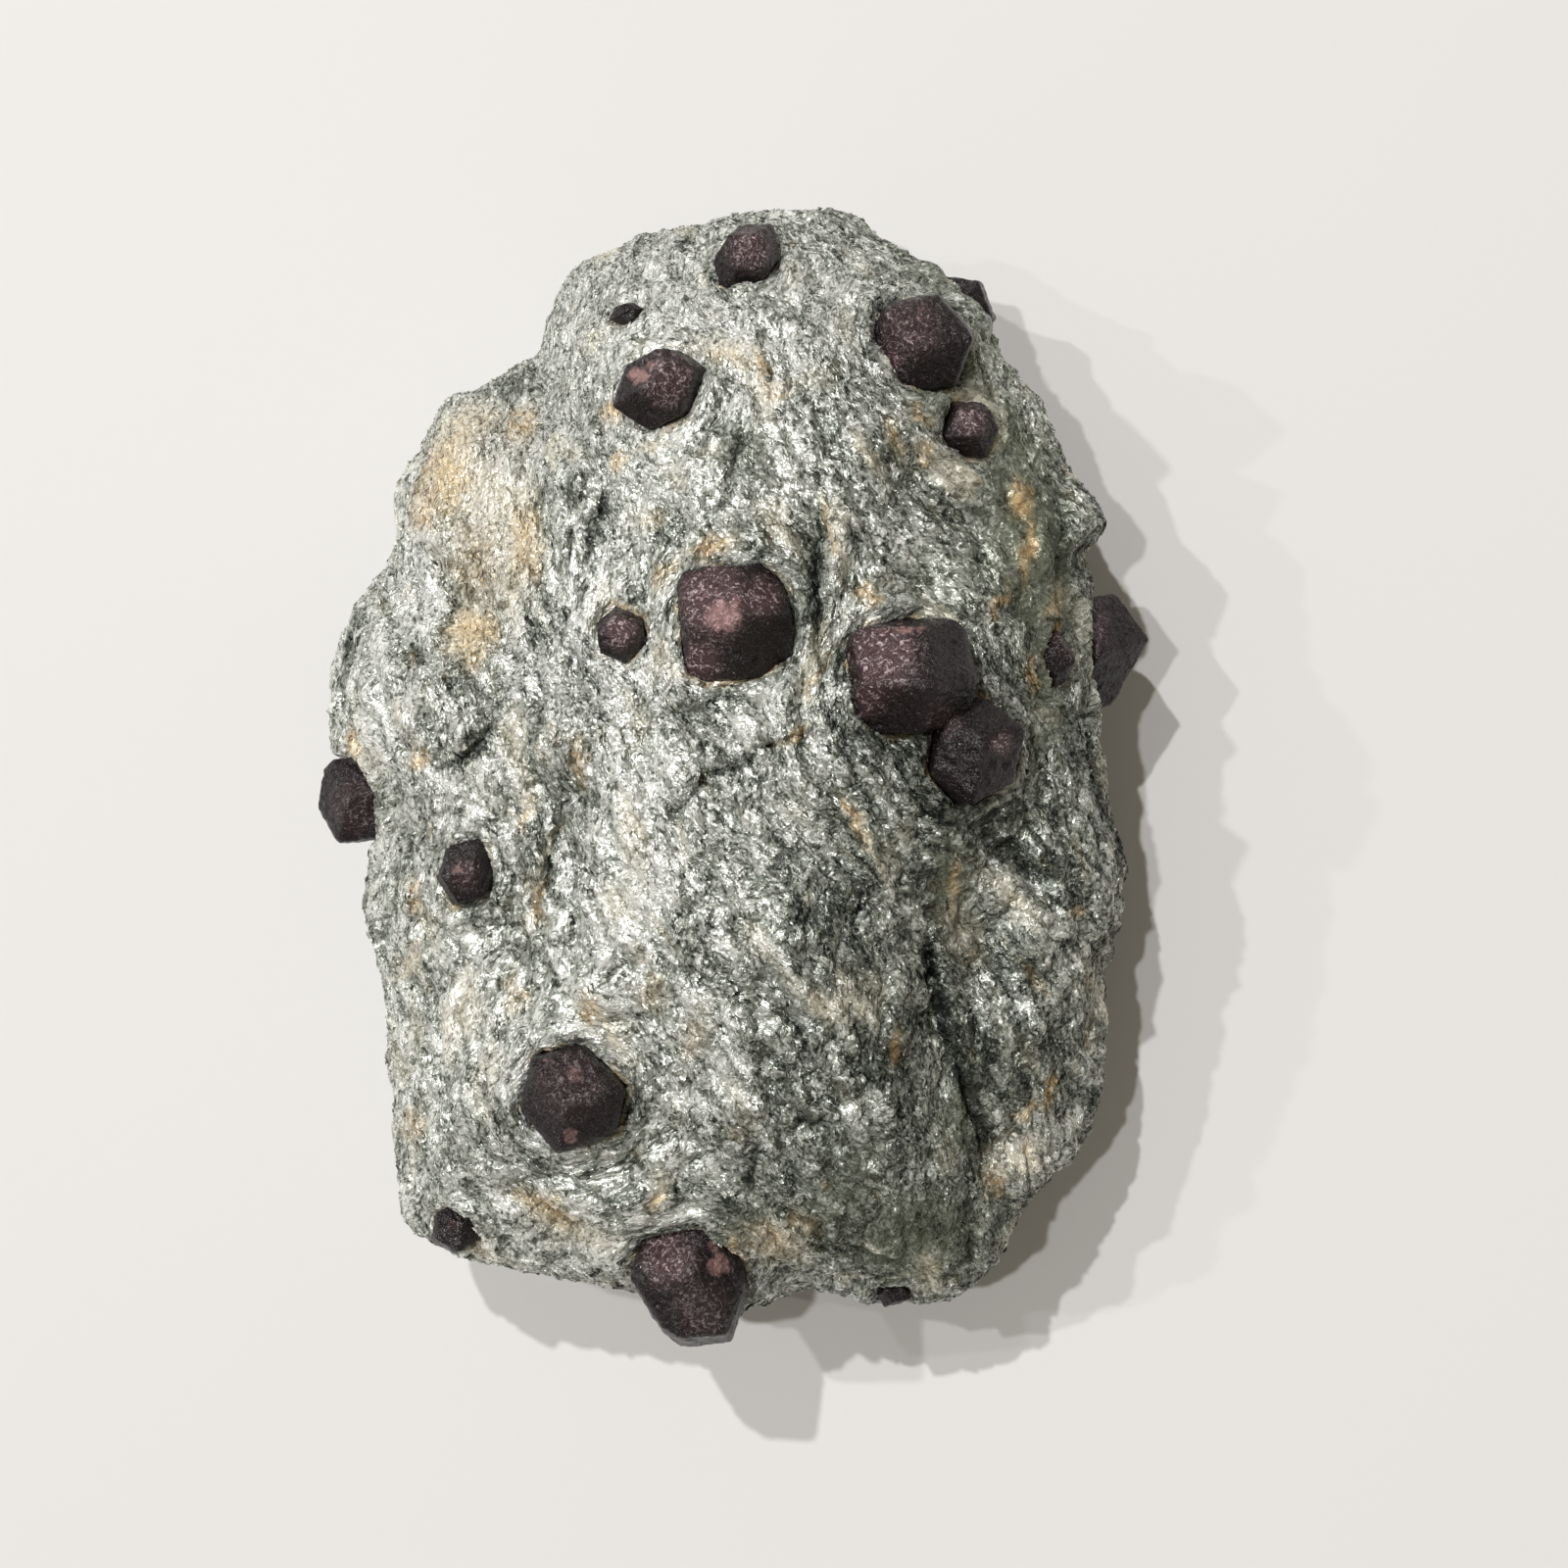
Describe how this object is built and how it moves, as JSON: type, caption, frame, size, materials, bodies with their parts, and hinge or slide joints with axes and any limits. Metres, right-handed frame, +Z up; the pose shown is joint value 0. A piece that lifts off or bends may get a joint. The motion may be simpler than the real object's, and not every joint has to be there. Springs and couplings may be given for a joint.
{
  "type": "garnet schist specimen",
  "caption": "Hand-sized lump of silvery-green mica schist with dark red-brown garnet crystals set in sockets of the rock, resting on a flat split face.",
  "frame": {"origin": "on the resting face, under the middle of the specimen's box", "axes": "+Z up from the resting face, +Y along the specimen's length towards its narrow end, +X to the right seen from above"},
  "size_m": [0.1106, 0.1504, 0.0582],
  "materials": {
    "mica_schist": "glittering fine mica flakes, silvery green with ochre iron stains",
    "garnet": "satin, rough crystal faces, dark purple-brown"
  },
  "bodies": {
    "root": {"schist_matrix": "mica_schist", "garnet_top": "garnet", "garnet_upper_right": "garnet", "garnet_upper_left": "garnet", "garnet_small_upper_right": "garnet", "garnet_upper_right_edge": "garnet", "garnet_centre": "garnet", "garnet_small_centre": "garnet", "garnet_right_edge": "garnet", "garnet_small_right": "garnet", "garnet_left_edge": "garnet", "garnet_small_left": "garnet", "garnet_lower_left": "garnet", "garnet_lower_left_corner": "garnet", "garnet_bottom_edge": "garnet", "garnet_tiny_upper_left": "garnet", "garnet_tiny_bottom_edge": "garnet", "garnet_right_flank": "garnet", "garnet_left_flank": "garnet", "garnet_bottom_flank": "garnet", "garnet_top_flank": "garnet", "garnet_pair": "garnet"}
  },
  "joints": []
}
